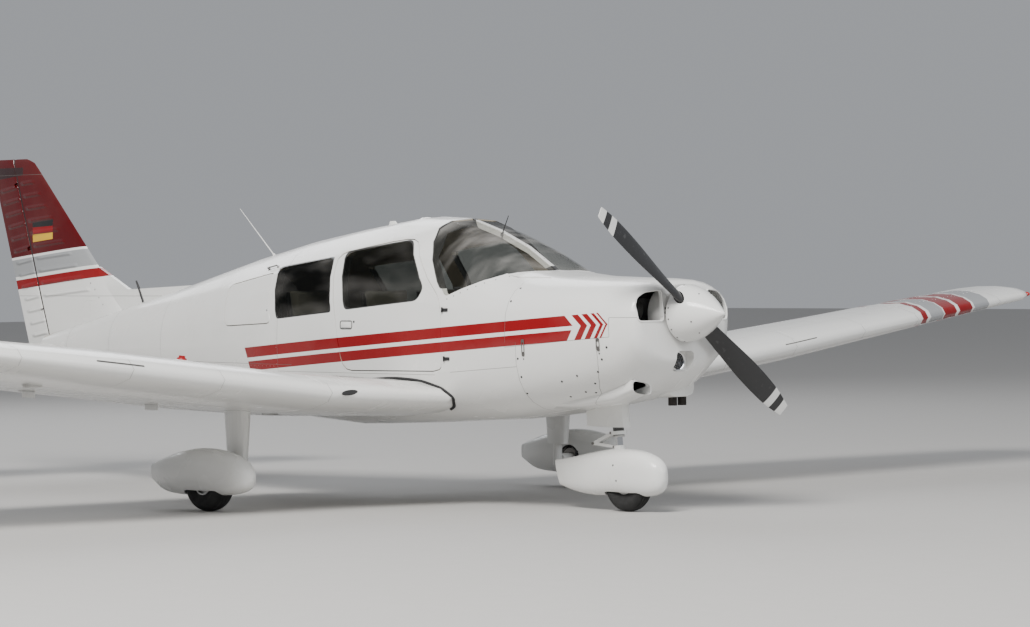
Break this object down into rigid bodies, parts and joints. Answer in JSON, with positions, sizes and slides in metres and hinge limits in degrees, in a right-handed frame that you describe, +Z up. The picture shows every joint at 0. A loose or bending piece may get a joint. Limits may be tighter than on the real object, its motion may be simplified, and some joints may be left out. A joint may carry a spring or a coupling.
{
  "type": "light aircraft",
  "caption": "Low-wing single-engine light aircraft with fixed nose-wheel gear, cabin, opening doors, turning propeller and wheels, and working control surfaces.",
  "frame": {"origin": "on the ground under the centre of the bounding box, as the aircraft parks on its gear", "axes": "+X forward to the nose, +Y to port, +Z up"},
  "size_m": [7.25, 10.67, 2.215],
  "materials": {
    "white_paint": "gloss",
    "white_moulding": "gloss",
    "glass": "gloss",
    "steel_sheet": "matte",
    "black_steel": "matte",
    "engine_block": "matte",
    "lamp_glass": "gloss",
    "propeller_paint": "satin",
    "spinner_paint": "gloss",
    "tyre": "matte",
    "wheel_alloy": "satin",
    "fork_alloy": "satin",
    "seat_cloth": "matte",
    "panel_plastic": "matte"
  },
  "bodies": {
    "airframe": {"cabin_shell": "white_paint", "cowl_lower": "white_moulding", "cowl_upper": "white_moulding", "front_window_left": "glass", "rear_window_left": "glass", "rear_window_right": "glass", "windshield_left": "glass", "windshield_right": "glass", "firewall": "steel_sheet", "nose_leg": "white_paint", "exhaust_pipes": "black_steel", "engine": "engine_block", "landing_lamp": "lamp_glass", "tail_cone": "white_paint", "fin": "white_paint", "wing_left": "white_paint", "wing_right": "white_paint", "main_pant_left": "white_moulding", "main_pant_right": "white_moulding", "main_leg_left": "white_paint", "main_leg_right": "white_paint", "front_seat_left": "seat_cloth", "front_seat_right": "seat_cloth", "rear_seat": "seat_cloth", "instrument_panel": "panel_plastic"},
    "propeller": {"propeller": "propeller_paint", "spinner": "spinner_paint"},
    "nose_gear": {"nose_fork": "fork_alloy", "nose_pant": "white_moulding"},
    "nose_wheel": {"nose_tyre": "tyre", "nose_hub": "wheel_alloy"},
    "main_wheel_left": {"main_tyre_left": "tyre", "main_hub_left": "wheel_alloy"},
    "main_wheel_right": {"main_tyre_right": "tyre", "main_hub_right": "wheel_alloy"},
    "cabin_door": {"cabin_door": "white_paint", "cabin_door_window": "glass"},
    "baggage_door": {"baggage_door": "white_paint"},
    "aileron_left": {"aileron_left": "white_paint"},
    "aileron_right": {"aileron_right": "white_paint"},
    "flap_left": {"flap_left": "white_paint"},
    "flap_right": {"flap_right": "white_paint"},
    "rudder": {"rudder": "white_paint"},
    "stabilator": {"stabilator": "white_paint"},
    "stabilator_tab": {"stabilator_tab": "white_paint"}
  },
  "joints": [
    {"name": "propeller_spin", "type": "hinge", "parent": "airframe", "child": "propeller", "pos_m": [3.369, 0, 1.165], "axis": [1, 0, 0], "continuous": true},
    {"name": "nose_steering", "type": "hinge", "parent": "airframe", "child": "nose_gear", "pos_m": [2.757, 0, 0.2], "axis": [-0.0884, 0, 0.9961], "range_deg": [-30, 30]},
    {"name": "nose_wheel_spin", "type": "hinge", "parent": "nose_gear", "child": "nose_wheel", "pos_m": [2.815, 0, 0.172], "axis": [0, 1, 0], "continuous": true},
    {"name": "main_wheel_left_spin", "type": "hinge", "parent": "airframe", "child": "main_wheel_left", "pos_m": [0.785, 1.525, 0.18], "axis": [0, 1, 0], "continuous": true},
    {"name": "main_wheel_right_spin", "type": "hinge", "parent": "airframe", "child": "main_wheel_right", "pos_m": [0.785, -1.525, 0.18], "axis": [0, 1, 0], "continuous": true},
    {"name": "cabin_door_hinge", "type": "hinge", "parent": "airframe", "child": "cabin_door", "pos_m": [1.805, -0.568, 1], "axis": [-0.0521, 0.087, 0.9948], "range_deg": [0, 70]},
    {"name": "baggage_door_hinge", "type": "hinge", "parent": "airframe", "child": "baggage_door", "pos_m": [0.093, -0.506, 1.1], "axis": [-0.0512, 0.2076, 0.9769], "range_deg": [0, 85]},
    {"name": "aileron_left_hinge", "type": "hinge", "parent": "airframe", "child": "aileron_left", "pos_m": [0.29214, 2.726, 0.81108], "axis": [0.1179, 0.9823, 0.1455], "range_deg": [-12.5, 25]},
    {"name": "aileron_right_hinge", "type": "hinge", "parent": "airframe", "child": "aileron_right", "pos_m": [0.29214, -2.726, 0.81108], "axis": [-0.1179, 0.9823, -0.1455], "range_deg": [-12.5, 25]},
    {"name": "flap_left_hinge", "type": "hinge", "parent": "airframe", "child": "flap_left", "pos_m": [0.35861, 0.64, 0.53615], "axis": [0.0162, -0.9939, -0.109], "range_deg": [0, 40]},
    {"name": "flap_right_hinge", "type": "hinge", "parent": "airframe", "child": "flap_right", "pos_m": [0.35861, -0.64, 0.53615], "axis": [-0.0162, -0.9939, 0.109], "range_deg": [0, 40]},
    {"name": "rudder_hinge", "type": "hinge", "parent": "airframe", "child": "rudder", "pos_m": [-2.90335, 0, 0.822], "axis": [-0.3159, 0, 0.9488], "range_deg": [-27, 27]},
    {"name": "stabilator_hinge", "type": "hinge", "parent": "airframe", "child": "stabilator", "pos_m": [-2.835, 0, 0.905], "axis": [0, 1, 0], "range_deg": [-2, 14]},
    {"name": "stabilator_tab_hinge", "type": "hinge", "parent": "stabilator", "child": "stabilator_tab", "pos_m": [-3.28, 0, 0.905], "axis": [0, 1, 0], "range_deg": [-2, 12]}
  ],
  "couplings": [
    {"joint": "flap_right_hinge", "follows": "flap_left_hinge", "ratio": 1},
    {"joint": "rudder_hinge", "follows": "nose_steering", "ratio": -0.9},
    {"joint": "stabilator_tab_hinge", "follows": "stabilator_hinge", "ratio": 0.85}
  ]
}
